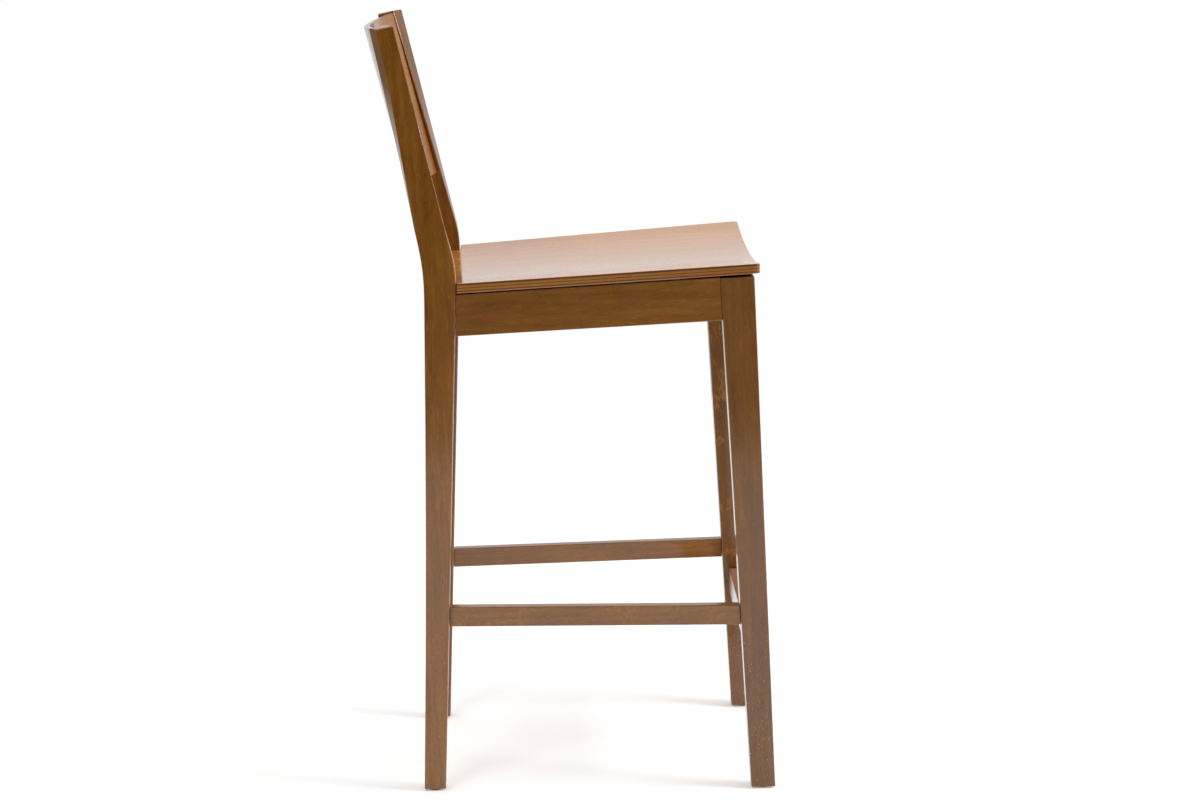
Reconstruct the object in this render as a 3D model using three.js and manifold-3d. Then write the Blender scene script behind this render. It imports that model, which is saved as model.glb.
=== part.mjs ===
// Bar stool with a footrest, low plywood back and dished plywood seat.
// Millimetres. +Z is up, the front is -Y, X is the width, and the origin is on the floor
// under the middle of the stool's box.

import * as THREE from 'three';
import { mergeVertices } from 'three/addons/utils/BufferGeometryUtils.js';
import Module from 'manifold-3d';

// ---------- driving dimensions ----------

const GAP = 0.3; // clearance between pieces that meet

// Heights
const LEG_BASE = 2.5; // the legs stand on glides this thick
const SEAT_LINE = 740; // height at which the legs' upper widths are given
const POST_TOP_FRONT = 1140;
const POST_TOP_REAR = 1135;

// Rear legs, which run up as the back posts
const REAR_LEG_THICK = 28.5;
const REAR_OUTER = { floor: 195.4, seat: 192.8, top: 175.7 }; // half widths over the outer faces
const REAR_LEG_BACK = { floor: 232, seat: 212.2 };
const REAR_LEG_BACK_BOW = 2; // the back edge is this much hollow half way up
const REAR_LEG_FRONT = { floor: 200, seat: 166.5 };
const BACK_BEND = { start: 755, full: 821, slope: 0.1925 }; // how the posts' edges turn back
const FRONT_BEND = { start: 756, full: 812, slope: 0.2739 };
const POST_BEVEL = { start: 800, depth: 11.5 }; // the front face turns inwards towards the top
const POST_BACK_TURN = { start: 850, full: 1070, outer: 9.5, inner: 2.6 }; // and the back face outwards
const REAR_LEG_LEVELS = [
  190, 370, 550, 740, 755, 763, 771, 780, 788, 796, 804, 812, 821, 850, 940, 1020, 1070,
];

// Front legs
const FRONT_LEG_THICK = 32.6;
const FRONT_OUTER = { floor: 221.9, seat: 218.4 };
const FRONT_LEG_BACK = { floor: -256.7, seat: -218.6 };
const FRONT_LEG_FRONT = { floor: -292.4, seat: -267.4 };

// Edges of the timber
const LEG_EDGE_RADIUS = 2;
const LEG_EDGE_STEPS = 2;
const FOOT_CHAMFER = 1.8;

// Seat: plywood pressed to one curve across its width
const SEAT_THICK = 14.5;
const SEAT_BEND_RADIUS = 1784;
const SEAT_DATUM = { y: 160, z: 757.8 }; // top face on the centre line
const SEAT_SLOPE = 0.0492; // rise towards the front
const SEAT_FRONT = -274.2;
const SEAT_REAR = 208;
const SEAT_OVERHANG = 1; // over the legs' outer faces
const SEAT_CORNER_RADIUS = 8;
const SEAT_NOTCH_CLEARANCE = 1;
const SEAT_CORNER_STEPS = 6;
const SEAT_STRIPS = 20;
const SEAT_BLANK = { halfWidth: 240, depth: 120 }; // the piece that the seat is cut from

// Back panel: plywood pressed to one curve, raked with the posts
const PANEL_THICK = 10;
const PANEL_RADIUS = { top: 395, bottom: 470 }; // of the front face
const PANEL_RAKE = THREE.MathUtils.degToRad(13.9);
const PANEL_TOP = { y: 286.5, z: 1130 }; // front face, middle of the top edge
const PANEL_HEIGHT = 257.5;
const PANEL_HOUSING = 8; // how far each end sits in its groove
const PANEL_STRIPS = 32;

// Rails under the seat
const RAIL_THICK = 21;
const RAIL_INSET = 0.8;
const CROSS_RAIL_STRIPS = 12;
const SIDE_RAIL_BOTTOM = { rear: 690, front: 709.6 };
const FRONT_RAIL = { front: -261, bottom: 712 };
const REAR_RAIL = { front: 180, bottom: 690 };

// Stretchers and footrest
const STRETCHER_THICK = 17;
const STRETCHER_INSET = 9;
const SIDE_STRETCHER = { bottom: 251.5, top: 281.5 };
const FOOTREST = { front: -275.5, rear: -253.5, bottom: 198, top: 234 };
const REAR_STRETCHER = { front: 198, rear: 215, bottom: 201, top: 231 };
const TENON = { length: 14, thick: 9, shoulder: 5 };

// Dowels in the rail joints
const DOWEL_RADIUS = 4;
const DOWEL_LENGTH = 32;
const DOWEL_SIDES = 12;
const DOWEL_RISE = { low: 15, high: 43 }; // above the bottom of the rail

// Corner blocks and screws
const BLOCK_FACE = 40; // length of each face that lies against a rail
const BLOCK_NOSE = { cross: 18, side: 14 }; // cut off towards the leg
const BLOCK_HEIGHT = 30;
const SCREW = { headRadius: 4, crownRadius: 3.2, headHeight: 2.6, shankRadius: 2, sides: 12 };
const RAIL_SCREW = { length: 28, inRail: 14, fromEnd: 26 };
const SEAT_SCREW_LENGTH = 42;

// Glides
const GLIDE = {
  radius: 11,
  thick: LEG_BASE - GAP,
  edge: 0.8,
  pinRadius: 1.4,
  pinLength: 16,
  sides: 24,
};

// ---------- finishes ----------

const LEG_WOOD = { color: 0x7a4a22, roughness: 0.35, metalness: 0 };
const RAIL_WOOD = { color: 0x6b4422, roughness: 0.35, metalness: 0 };
const PLY_WOOD = { color: 0xb4713c, roughness: 0.28, metalness: 0 };
const RAW_WOOD = { color: 0xc9a878, roughness: 0.7, metalness: 0 };
const STEEL = { color: 0xb9b6a8, roughness: 0.4, metalness: 0.9 };
const BLACK_PLASTIC = { color: 0x1c1a18, roughness: 0.5, metalness: 0 };

// ---------- joining and cutting ----------

const wasm = await Module();
wasm.setup();

function toSolid(geometry) {
  const bare = geometry.clone();
  bare.deleteAttribute('normal');
  bare.deleteAttribute('uv');
  const merged = mergeVertices(bare, 1e-3);
  const triangles = [];
  for (let i = 0; i < merged.index.count; i += 3) {
    const [a, b, c] = merged.index.array.slice(i, i + 3);
    if (a !== b && b !== c && c !== a) {
      triangles.push(a, b, c);
    }
  }
  return new wasm.Manifold(new wasm.Mesh({
    numProp: 3,
    vertProperties: new Float32Array(merged.attributes.position.array),
    triVerts: new Uint32Array(triangles),
  }));
}

function toGeometry(solid) {
  const mesh = solid.getMesh();
  const geometry = new THREE.BufferGeometry();
  geometry.setAttribute('position', new THREE.BufferAttribute(mesh.vertProperties, 3));
  geometry.setIndex(new THREE.BufferAttribute(mesh.triVerts, 1));
  geometry.computeVertexNormals();
  return geometry;
}

function cut(geometry, tools) {
  let solid = toSolid(geometry);
  for (const tool of tools) {
    solid = solid.subtract(toSolid(tool));
  }
  return toGeometry(solid);
}

function join(geometries) {
  let solid = toSolid(geometries[0]);
  for (const geometry of geometries.slice(1)) {
    solid = solid.add(toSolid(geometry));
  }
  return toGeometry(solid);
}

// ---------- shapes ----------

// A closed body through rings of points; every ring has the same count, and the first and
// last are closed flat. The rings turn anticlockwise seen from the last ring.
function loft(rings) {
  const count = rings[0].length;
  const positions = rings.flat(2);
  const index = [];
  for (let ring = 0; ring < rings.length - 1; ring += 1) {
    for (let side = 0; side < count; side += 1) {
      const a = ring * count + side;
      const b = ring * count + (side + 1) % count;
      index.push(a, b, b + count, a, b + count, a + count);
    }
  }
  const last = (rings.length - 1) * count;
  for (let side = 1; side < count - 1; side += 1) {
    index.push(0, side + 1, side);
    index.push(last, last + side, last + side + 1);
  }
  const geometry = new THREE.BufferGeometry();
  geometry.setAttribute('position', new THREE.Float32BufferAttribute(positions, 3));
  geometry.setIndex(index);
  return geometry;
}

function box(low, high) {
  const ring = (z) => [
    [low[0], low[1], z], [high[0], low[1], z], [high[0], high[1], z], [low[0], high[1], z],
  ];
  return loft([ring(low[2]), ring(high[2])]);
}

// Rounds the corners of a ring of points by a short curve at each one.
function roundedRing(corners, radius) {
  const ring = [];
  corners.forEach((corner, i) => {
    const here = new THREE.Vector3(...corner);
    const before = new THREE.Vector3(...corners[(i + corners.length - 1) % corners.length]);
    const after = new THREE.Vector3(...corners[(i + 1) % corners.length]);
    const start = here.clone().add(before.sub(here).setLength(radius));
    const end = here.clone().add(after.sub(here).setLength(radius));
    const bend = new THREE.QuadraticBezierCurve3(start, here, end);
    bend.getPoints(LEG_EDGE_STEPS).forEach((point) => ring.push(point.toArray()));
  });
  return ring;
}

function cylinderBetween(start, end, radius, sides) {
  const from = new THREE.Vector3(...start);
  const to = new THREE.Vector3(...end);
  const geometry = new THREE.CylinderGeometry(radius, radius, from.distanceTo(to), sides);
  const turn = new THREE.Quaternion().setFromUnitVectors(
    new THREE.Vector3(0, 1, 0),
    to.clone().sub(from).normalize(),
  );
  geometry.applyQuaternion(turn);
  const middle = from.add(to).multiplyScalar(0.5);
  geometry.translate(middle.x, middle.y, middle.z);
  return geometry;
}

// A turned shape whose axis runs from a point along a direction.
function turned(profile, at, direction, sides) {
  const points = profile.map(([radius, along]) => new THREE.Vector2(radius, along));
  const geometry = new THREE.LatheGeometry(points, sides);
  const turn = new THREE.Quaternion().setFromUnitVectors(
    new THREE.Vector3(0, 1, 0),
    new THREE.Vector3(...direction).normalize(),
  );
  geometry.applyQuaternion(turn);
  geometry.translate(...at);
  return geometry;
}

function mirrored(geometry) {
  const copy = geometry.clone();
  copy.scale(-1, 1, 1);
  const index = copy.index.array;
  for (let i = 0; i < index.length; i += 3) {
    [index[i], index[i + 1]] = [index[i + 1], index[i]];
  }
  return copy;
}

const lerp = THREE.MathUtils.lerp;

// ---------- where the timber runs ----------

function rearOuter(z) {
  if (z <= SEAT_LINE) {
    return lerp(REAR_OUTER.floor, REAR_OUTER.seat, z / SEAT_LINE);
  }
  const up = (z - SEAT_LINE) / (POST_TOP_FRONT - SEAT_LINE);
  return lerp(REAR_OUTER.seat, REAR_OUTER.top, up);
}

function frontOuter(z) {
  return lerp(FRONT_OUTER.floor, FRONT_OUTER.seat, z / SEAT_LINE);
}

// How far an edge has left its lower line at a height: nothing, then a curve, then a straight.
function bent(z, bend) {
  if (z >= bend.full) {
    return bend.slope * (z - (bend.start + bend.full) / 2);
  }
  const into = Math.max(0, z - bend.start);
  return (bend.slope * into ** 2) / (2 * (bend.full - bend.start));
}

function rearLegBack(z) {
  const up = Math.min(1, z / SEAT_LINE);
  const bow = 4 * REAR_LEG_BACK_BOW * up * (1 - up);
  return lerp(REAR_LEG_BACK.floor, REAR_LEG_BACK.seat, up) - bow + bent(z, BACK_BEND);
}

function rearLegFront(z) {
  return lerp(REAR_LEG_FRONT.floor, REAR_LEG_FRONT.seat, z / SEAT_LINE) + bent(z, FRONT_BEND);
}

function frontLegBack(z) {
  return lerp(FRONT_LEG_BACK.floor, FRONT_LEG_BACK.seat, z / SEAT_LINE);
}

function frontLegFront(z) {
  return lerp(FRONT_LEG_FRONT.floor, FRONT_LEG_FRONT.seat, z / SEAT_LINE);
}

// Half width over the outer faces at any depth, on the line from rear leg to front leg.
function sideLine(y, z) {
  const along = (rearLegFront(z) - y) / (rearLegFront(z) - frontLegBack(z));
  return lerp(rearOuter(z), frontOuter(z), along);
}

// Outer face of a side rail, which stands upright.
function railOuter(y) {
  return sideLine(y, SEAT_LINE) - RAIL_INSET;
}

const frontLegInner = (z) => frontOuter(z) - FRONT_LEG_THICK;
const rearLegInner = (z) => rearOuter(z) - REAR_LEG_THICK;

function dish(x) {
  return SEAT_BEND_RADIUS - Math.sqrt(SEAT_BEND_RADIUS ** 2 - x ** 2);
}

function seatTop(x, y) {
  return SEAT_DATUM.z + SEAT_SLOPE * (SEAT_DATUM.y - y) + dish(x);
}

function seatUnder(x, y) {
  return seatTop(x, y) - SEAT_THICK;
}

// ---------- plywood ----------

function seatSlab() {
  const rings = [];
  for (let i = 0; i <= SEAT_STRIPS; i += 1) {
    const x = lerp(-SEAT_BLANK.halfWidth, SEAT_BLANK.halfWidth, i / SEAT_STRIPS);
    const front = SEAT_FRONT - SEAT_CORNER_RADIUS;
    const rear = SEAT_REAR + SEAT_CORNER_RADIUS;
    rings.push([
      [x, front, seatUnder(x, front)],
      [x, rear, seatUnder(x, rear)],
      [x, rear, seatTop(x, rear)],
      [x, front, seatTop(x, front)],
    ]);
  }
  return loft(rings);
}

function seatOutline() {
  const notchFront = rearLegFront(SEAT_DATUM.z) - SEAT_NOTCH_CLEARANCE;
  const notchSide = rearOuter(SEAT_DATUM.z) - REAR_LEG_THICK - SEAT_NOTCH_CLEARANCE;
  const frontHalf = sideLine(SEAT_FRONT, SEAT_LINE) + SEAT_OVERHANG;
  const rearHalf = sideLine(notchFront, SEAT_LINE) + SEAT_OVERHANG;
  const outline = new THREE.Shape();
  outline.moveTo(-frontHalf + SEAT_CORNER_RADIUS, SEAT_FRONT);
  outline.lineTo(frontHalf - SEAT_CORNER_RADIUS, SEAT_FRONT);
  outline.quadraticCurveTo(frontHalf, SEAT_FRONT, frontHalf, SEAT_FRONT + SEAT_CORNER_RADIUS);
  outline.lineTo(rearHalf, notchFront);
  outline.lineTo(notchSide, notchFront);
  outline.lineTo(notchSide, SEAT_REAR);
  outline.lineTo(-notchSide, SEAT_REAR);
  outline.lineTo(-notchSide, notchFront);
  outline.lineTo(-rearHalf, notchFront);
  outline.lineTo(-frontHalf, SEAT_FRONT + SEAT_CORNER_RADIUS);
  outline.quadraticCurveTo(-frontHalf, SEAT_FRONT, -frontHalf + SEAT_CORNER_RADIUS, SEAT_FRONT);
  return outline;
}

function seatPanel(screwHoles) {
  const prism = new THREE.ExtrudeGeometry(seatOutline(), {
    depth: SEAT_BLANK.depth,
    bevelEnabled: false,
    curveSegments: SEAT_CORNER_STEPS,
  });
  prism.translate(0, 0, SEAT_DATUM.z - SEAT_BLANK.depth / 2);
  const solid = toSolid(seatSlab()).intersect(toSolid(prism));
  return cut(toGeometry(solid), screwHoles);
}

// A point of the back panel: across the width, down from the top edge and out from the front face.
function panelPoint(x, down, out) {
  const radius = lerp(PANEL_RADIUS.top, PANEL_RADIUS.bottom, down / PANEL_HEIGHT) + out;
  const depth = out - (radius - Math.sqrt(radius ** 2 - x ** 2));
  return [
    x,
    PANEL_TOP.y + depth * Math.cos(PANEL_RAKE) - down * Math.sin(PANEL_RAKE),
    PANEL_TOP.z - depth * Math.sin(PANEL_RAKE) - down * Math.cos(PANEL_RAKE),
  ];
}

function panelHalfWidth(down) {
  const z = PANEL_TOP.z - down * Math.cos(PANEL_RAKE);
  return rearOuter(z) - REAR_LEG_THICK + PANEL_HOUSING;
}

function panelSolid(grow) {
  const rings = [];
  const top = -grow;
  const bottom = PANEL_HEIGHT + grow;
  for (let i = 0; i <= PANEL_STRIPS; i += 1) {
    const across = lerp(-1, 1, i / PANEL_STRIPS);
    const topX = across * (panelHalfWidth(top) + grow);
    const bottomX = across * (panelHalfWidth(bottom) + grow);
    rings.push([
      panelPoint(bottomX, bottom, -grow),
      panelPoint(bottomX, bottom, PANEL_THICK + grow),
      panelPoint(topX, top, PANEL_THICK + grow),
      panelPoint(topX, top, -grow),
    ]);
  }
  return loft(rings);
}

// ---------- legs ----------

// One level of a leg; the outer front corner is at `z` and the back of the leg drops by `drop`.
function legRing(leg, z, drop, inset) {
  const half = leg.outer(z) - inset;
  const inner = leg.outer(z) - leg.thick + inset;
  const front = leg.front(z) + inset;
  const back = leg.back(z) - inset;
  return roundedRing([
    [inner, front + leg.bevel(z), z],
    [half, front, z],
    [half, back - POST_BACK_TURN.outer * leg.turn(z), z - drop],
    [inner, back + POST_BACK_TURN.inner * leg.turn(z), z - drop],
  ], LEG_EDGE_RADIUS);
}

function legBlank(leg, heights, top, drop) {
  return loft([
    legRing(leg, LEG_BASE, 0, FOOT_CHAMFER),
    legRing(leg, LEG_BASE + FOOT_CHAMFER, 0, 0),
    ...heights.map((z) => legRing(leg, z, 0, 0)),
    legRing(leg, top - LEG_EDGE_RADIUS, drop, 0),
    legRing(leg, top, drop, LEG_EDGE_RADIUS / 2),
  ]);
}

const rearLeg = {
  outer: rearOuter,
  front: rearLegFront,
  back: rearLegBack,
  thick: REAR_LEG_THICK,
  bevel: (z) => {
    const rise = (z - POST_BEVEL.start) / (POST_TOP_FRONT - POST_BEVEL.start);
    return POST_BEVEL.depth * Math.max(0, rise);
  },
  turn: (z) => {
    const { start, full } = POST_BACK_TURN;
    return THREE.MathUtils.clamp((z - start) / (full - start), 0, 1);
  },
};

const frontLeg = {
  outer: frontOuter,
  front: frontLegFront,
  back: frontLegBack,
  thick: FRONT_LEG_THICK,
  bevel: () => 0,
  turn: () => 0,
};

function rearLegBlank() {
  return legBlank(rearLeg, REAR_LEG_LEVELS, POST_TOP_FRONT, POST_TOP_FRONT - POST_TOP_REAR);
}

function frontLegBlank() {
  const inner = frontLegInner(SEAT_LINE);
  const topFront = seatUnder(inner, FRONT_LEG_FRONT.seat) - GAP;
  const topBack = seatUnder(inner, FRONT_LEG_BACK.seat) - GAP;
  return legBlank(frontLeg, [SEAT_LINE / 2], topFront, topFront - topBack);
}

// ---------- rails ----------

// The side rail on the +X side, between the rear leg and the front leg.
function sideRailBlank() {
  const rearAt = (z) => rearLegFront(z) - GAP;
  const frontAt = (z) => frontLegBack(z) + GAP;
  const topAt = (y) => seatUnder(railOuter(y) - RAIL_THICK, y) - GAP;
  const ring = (rearZ, frontZ) => {
    const rear = rearAt(rearZ);
    const front = frontAt(frontZ);
    return [
      [railOuter(front) - RAIL_THICK, front, frontZ],
      [railOuter(front), front, frontZ],
      [railOuter(rear), rear, rearZ],
      [railOuter(rear) - RAIL_THICK, rear, rearZ],
    ];
  };
  return loft([
    ring(SIDE_RAIL_BOTTOM.rear, SIDE_RAIL_BOTTOM.front),
    ring(topAt(rearAt(SEAT_LINE)), topAt(frontAt(SEAT_LINE))),
  ]);
}

// The front or rear rail, whose top edge follows the seat.
function crossRailBlank(rail, legInner) {
  const rear = rail.front + RAIL_THICK;
  const lowEnd = legInner(rail.bottom) - GAP;
  const highEnd = legInner(seatUnder(lowEnd, rail.front)) - GAP;
  const rings = [];
  for (let i = 0; i <= CROSS_RAIL_STRIPS; i += 1) {
    const across = lerp(-1, 1, i / CROSS_RAIL_STRIPS);
    const lowX = across * lowEnd;
    const highX = across * highEnd;
    rings.push([
      [lowX, rail.front, rail.bottom],
      [lowX, rear, rail.bottom],
      [highX, rear, seatUnder(highX, rear) - GAP],
      [highX, rail.front, seatUnder(highX, rail.front) - GAP],
    ]);
  }
  return loft(rings);
}

// ---------- stretchers and footrest ----------

// Each bar is its body and the two tenons that go into the legs; `grow` widens the tenons
// when they cut their mortises.
function sideStretcher(grow) {
  const { bottom, top } = SIDE_STRETCHER;
  const middle = (bottom + top) / 2;
  const outer = (y) => sideLine(y, middle) - STRETCHER_INSET;
  const ring = (z) => {
    const rear = rearLegFront(z) - GAP;
    const front = frontLegBack(z) + GAP;
    return [
      [outer(front) - STRETCHER_THICK, front, z],
      [outer(front), front, z],
      [outer(rear), rear, z],
      [outer(rear) - STRETCHER_THICK, rear, z],
    ];
  };
  const tenon = (face, into) => {
    const x = outer(face) - STRETCHER_THICK / 2;
    const half = TENON.thick / 2 + grow;
    const ends = [face - into * TENON.length / 2, face + into * (TENON.length + grow)];
    return box(
      [x - half, Math.min(...ends), bottom + TENON.shoulder - grow],
      [x + half, Math.max(...ends), top - TENON.shoulder + grow],
    );
  };
  return {
    body: loft([ring(bottom), ring(top)]),
    tenons: { rear: tenon(rearLegFront(middle), 1), front: tenon(frontLegBack(middle), -1) },
  };
}

// The footrest or the rear stretcher, straight across the stool.
function crossStretcher(bar, legInner, grow) {
  const thick = bar.rear - bar.front;
  const ring = (z) => {
    const half = legInner(z) - GAP;
    return [
      [-half, bar.front, z],
      [half, bar.front, z],
      [half, bar.rear, z],
      [-half, bar.rear, z],
    ];
  };
  const face = legInner((bar.bottom + bar.top) / 2);
  const low = bar.front + (thick - TENON.thick) / 2 - grow;
  const tenon = box(
    [face - TENON.length / 2, low, bar.bottom + TENON.shoulder - grow],
    [face + TENON.length + grow, low + TENON.thick + 2 * grow, bar.top - TENON.shoulder + grow],
  );
  return { body: loft([ring(bar.bottom), ring(bar.top)]), tenon };
}

// ---------- dowels ----------

// The dowels of one rail joint on the +X side: each one's middle and direction.
function dowels(name, bottom, placeAt, along) {
  return Object.entries(DOWEL_RISE).map(([level, rise]) => ({
    name: `${name}_${level}`,
    at: placeAt(bottom + rise),
    along,
  }));
}

function sideDowelPlace(face) {
  return (z) => [railOuter(face(z)) - RAIL_THICK / 2, face(z), z];
}

function crossDowelPlace(rail, legInner) {
  return (z) => [legInner(z), rail.front + RAIL_THICK / 2, z];
}

const dowelPlan = {
  sideRear: dowels(
    'dowel_side_rail_rear',
    SIDE_RAIL_BOTTOM.rear,
    sideDowelPlace(rearLegFront),
    [0, 1, 0],
  ),
  sideFront: dowels(
    'dowel_side_rail_front',
    SIDE_RAIL_BOTTOM.front,
    sideDowelPlace(frontLegBack),
    [0, 1, 0],
  ),
  front: dowels(
    'dowel_front_rail',
    FRONT_RAIL.bottom,
    crossDowelPlace(FRONT_RAIL, frontLegInner),
    [1, 0, 0],
  ),
  rear: dowels(
    'dowel_rear_rail',
    REAR_RAIL.bottom,
    crossDowelPlace(REAR_RAIL, rearLegInner),
    [1, 0, 0],
  ),
};

function dowel(plan, grow) {
  const reach = DOWEL_LENGTH / 2 + grow;
  const end = (sign) => plan.at.map((value, i) => value + sign * reach * plan.along[i]);
  return cylinderBetween(end(-1), end(1), DOWEL_RADIUS + grow, DOWEL_SIDES);
}

function dowelHoles(...joints) {
  return joints.flat().map((plan) => dowel(plan, GAP));
}

// ---------- corner blocks and their screws ----------

// Seen from above, the block's corners run along the cross rail and back along the side rail.
function blockPlan(name, inwards, crossFace, legFace, legInner) {
  const near = legFace + inwards * BLOCK_NOSE.side;
  const far = near + inwards * BLOCK_FACE;
  const sideFace = (y) => railOuter(y) - RAIL_THICK - GAP;
  const crossNear = legInner(SEAT_LINE) - BLOCK_NOSE.cross;
  const outline = [
    [crossNear - BLOCK_FACE, crossFace],
    [crossNear, crossFace],
    [sideFace(near), near],
    [sideFace(far), far],
  ];
  const top = Math.min(...outline.map(([x, y]) => seatUnder(x, y))) - GAP;
  const middle = (axis) => outline.reduce((sum, corner) => sum + corner[axis], 0) / outline.length;
  const screwZ = top - BLOCK_HEIGHT / 2;
  const inBlock = RAIL_SCREW.length - RAIL_SCREW.inRail;
  const screwX = outline[0][0] + RAIL_SCREW.fromEnd;
  const screwY = far - inwards * RAIL_SCREW.fromEnd;
  return {
    name,
    outline,
    top,
    crossScrew: {
      name: `block_screw_${name}_cross`,
      at: [screwX, crossFace + inwards * inBlock, screwZ],
      along: [0, -inwards, 0],
      length: RAIL_SCREW.length,
    },
    sideScrew: {
      name: `block_screw_${name}_side`,
      at: [sideFace(screwY) - inBlock, screwY, screwZ],
      along: [1, 0, 0],
      length: RAIL_SCREW.length,
    },
    seatScrew: {
      name: `seat_screw_${name}`,
      at: [middle(0), middle(1), top - BLOCK_HEIGHT - GAP],
      along: [0, 0, 1],
      length: SEAT_SCREW_LENGTH,
    },
  };
}

const blocks = {
  front: blockPlan(
    'front',
    1,
    FRONT_RAIL.front + RAIL_THICK + GAP,
    frontLegBack(SEAT_LINE),
    frontLegInner,
  ),
  rear: blockPlan('rear', -1, REAR_RAIL.front - GAP, rearLegFront(SEAT_LINE), rearLegInner),
};

function cornerBlock(plan) {
  const clockwise = plan.name === 'rear';
  const outline = clockwise ? [...plan.outline].reverse() : plan.outline;
  const ring = (z) => outline.map(([x, y]) => [x, y, z]);
  const blank = loft([ring(plan.top - BLOCK_HEIGHT), ring(plan.top)]);
  const screws = [plan.crossScrew, plan.sideScrew, plan.seatScrew];
  return cut(blank, screws.map((screw) => screwCavity(screw)));
}

// The head lies behind the point `at`, and the shank runs from it along the screw's direction.
function screwSolid(screw) {
  const { headRadius, crownRadius, headHeight, shankRadius, sides } = SCREW;
  const profile = [
    [0, -headHeight],
    [crownRadius, -headHeight],
    [headRadius, -headHeight / 2],
    [headRadius, 0],
    [shankRadius, 0],
    [shankRadius, screw.length - 2 * shankRadius],
    [0, screw.length],
  ];
  return toGeometry(toSolid(turned(profile, screw.at, screw.along, sides)));
}

// The hole that the screw needs, open behind the head.
function screwCavity(screw) {
  const { headRadius, shankRadius, sides } = SCREW;
  const profile = [
    [0, -BLOCK_FACE],
    [headRadius + GAP, -BLOCK_FACE],
    [headRadius + GAP, GAP],
    [shankRadius + GAP, GAP],
    [shankRadius + GAP, screw.length + GAP],
    [0, screw.length + GAP],
  ];
  return turned(profile, screw.at, screw.along, sides);
}

// ---------- glides ----------

function footCentre(leg) {
  return [leg.outer(0) - leg.thick / 2, (leg.front(0) + leg.back(0)) / 2];
}

function glide(leg) {
  const [x, y] = footCentre(leg);
  const { radius, thick, edge, pinRadius, pinLength, sides } = GLIDE;
  const profile = [
    [0, 0],
    [radius - edge, 0],
    [radius, edge],
    [radius, thick],
    [pinRadius, thick],
    [pinRadius, thick + pinLength - pinRadius],
    [0, thick + pinLength],
  ];
  return toGeometry(toSolid(turned(profile, [x, y, 0], [0, 0, 1], sides)));
}

function glideHole(leg) {
  const [x, y] = footCentre(leg);
  const top = GLIDE.thick + GLIDE.pinLength + GAP;
  return cylinderBetween([x, y, -GAP], [x, y, top], GLIDE.pinRadius + GAP, GLIDE.sides);
}

// ---------- assembly ----------

const stool = new THREE.Group();
stool.name = 'bar_stool';

function add(name, geometry, finish) {
  const mesh = new THREE.Mesh(geometry, new THREE.MeshStandardMaterial(finish));
  mesh.name = name;
  stool.add(mesh);
}

// Adds a piece on the +X side, which is the sitter's left, and its mirror image on the other side.
function addPair(name, geometry, finish) {
  add(`${name}_left`, geometry, finish);
  add(`${name}_right`, mirrored(geometry), finish);
}

function both(tools) {
  return [...tools, ...tools.map(mirrored)];
}

const side = sideStretcher(0);
const sideMortise = sideStretcher(GAP).tenons;
const footrest = crossStretcher(FOOTREST, frontLegInner, 0);
const footrestMortise = crossStretcher(FOOTREST, frontLegInner, GAP).tenon;
const rearBar = crossStretcher(REAR_STRETCHER, rearLegInner, 0);
const rearMortise = crossStretcher(REAR_STRETCHER, rearLegInner, GAP).tenon;

addPair('rear_leg', cut(rearLegBlank(), [
  panelSolid(GAP),
  sideMortise.rear,
  rearMortise,
  glideHole(rearLeg),
  ...dowelHoles(dowelPlan.sideRear, dowelPlan.rear),
]), LEG_WOOD);

addPair('front_leg', cut(frontLegBlank(), [
  sideMortise.front,
  footrestMortise,
  glideHole(frontLeg),
  ...dowelHoles(dowelPlan.sideFront, dowelPlan.front),
]), LEG_WOOD);

addPair('side_rail', cut(sideRailBlank(), [
  ...dowelHoles(dowelPlan.sideRear, dowelPlan.sideFront),
  screwCavity(blocks.front.sideScrew),
  screwCavity(blocks.rear.sideScrew),
]), RAIL_WOOD);

add('front_rail', cut(crossRailBlank(FRONT_RAIL, frontLegInner), both([
  ...dowelHoles(dowelPlan.front),
  screwCavity(blocks.front.crossScrew),
])), RAIL_WOOD);

add('rear_rail', cut(crossRailBlank(REAR_RAIL, rearLegInner), both([
  ...dowelHoles(dowelPlan.rear),
  screwCavity(blocks.rear.crossScrew),
])), RAIL_WOOD);

addPair('side_stretcher', join([side.body, side.tenons.rear, side.tenons.front]), RAIL_WOOD);
add('footrest', join([footrest.body, ...both([footrest.tenon])]), RAIL_WOOD);
add('rear_stretcher', join([rearBar.body, ...both([rearBar.tenon])]), RAIL_WOOD);

const seatScrews = [blocks.front.seatScrew, blocks.rear.seatScrew];
add('seat', seatPanel(both(seatScrews.map(screwCavity))), PLY_WOOD);
add('back_panel', toGeometry(toSolid(panelSolid(0))), PLY_WOOD);

for (const plan of Object.values(dowelPlan).flat()) {
  addPair(plan.name, toGeometry(toSolid(dowel(plan, 0))), RAW_WOOD);
}

for (const plan of Object.values(blocks)) {
  addPair(`corner_block_${plan.name}`, cornerBlock(plan), RAW_WOOD);
  for (const screw of [plan.crossScrew, plan.sideScrew, plan.seatScrew]) {
    addPair(screw.name, screwSolid(screw), STEEL);
  }
}

addPair('glide_rear', glide(rearLeg), BLACK_PLASTIC);
addPair('glide_front', glide(frontLeg), BLACK_PLASTIC);

export default stool;
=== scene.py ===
import math

import bmesh
import bpy
from mathutils import Matrix, Vector


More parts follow.
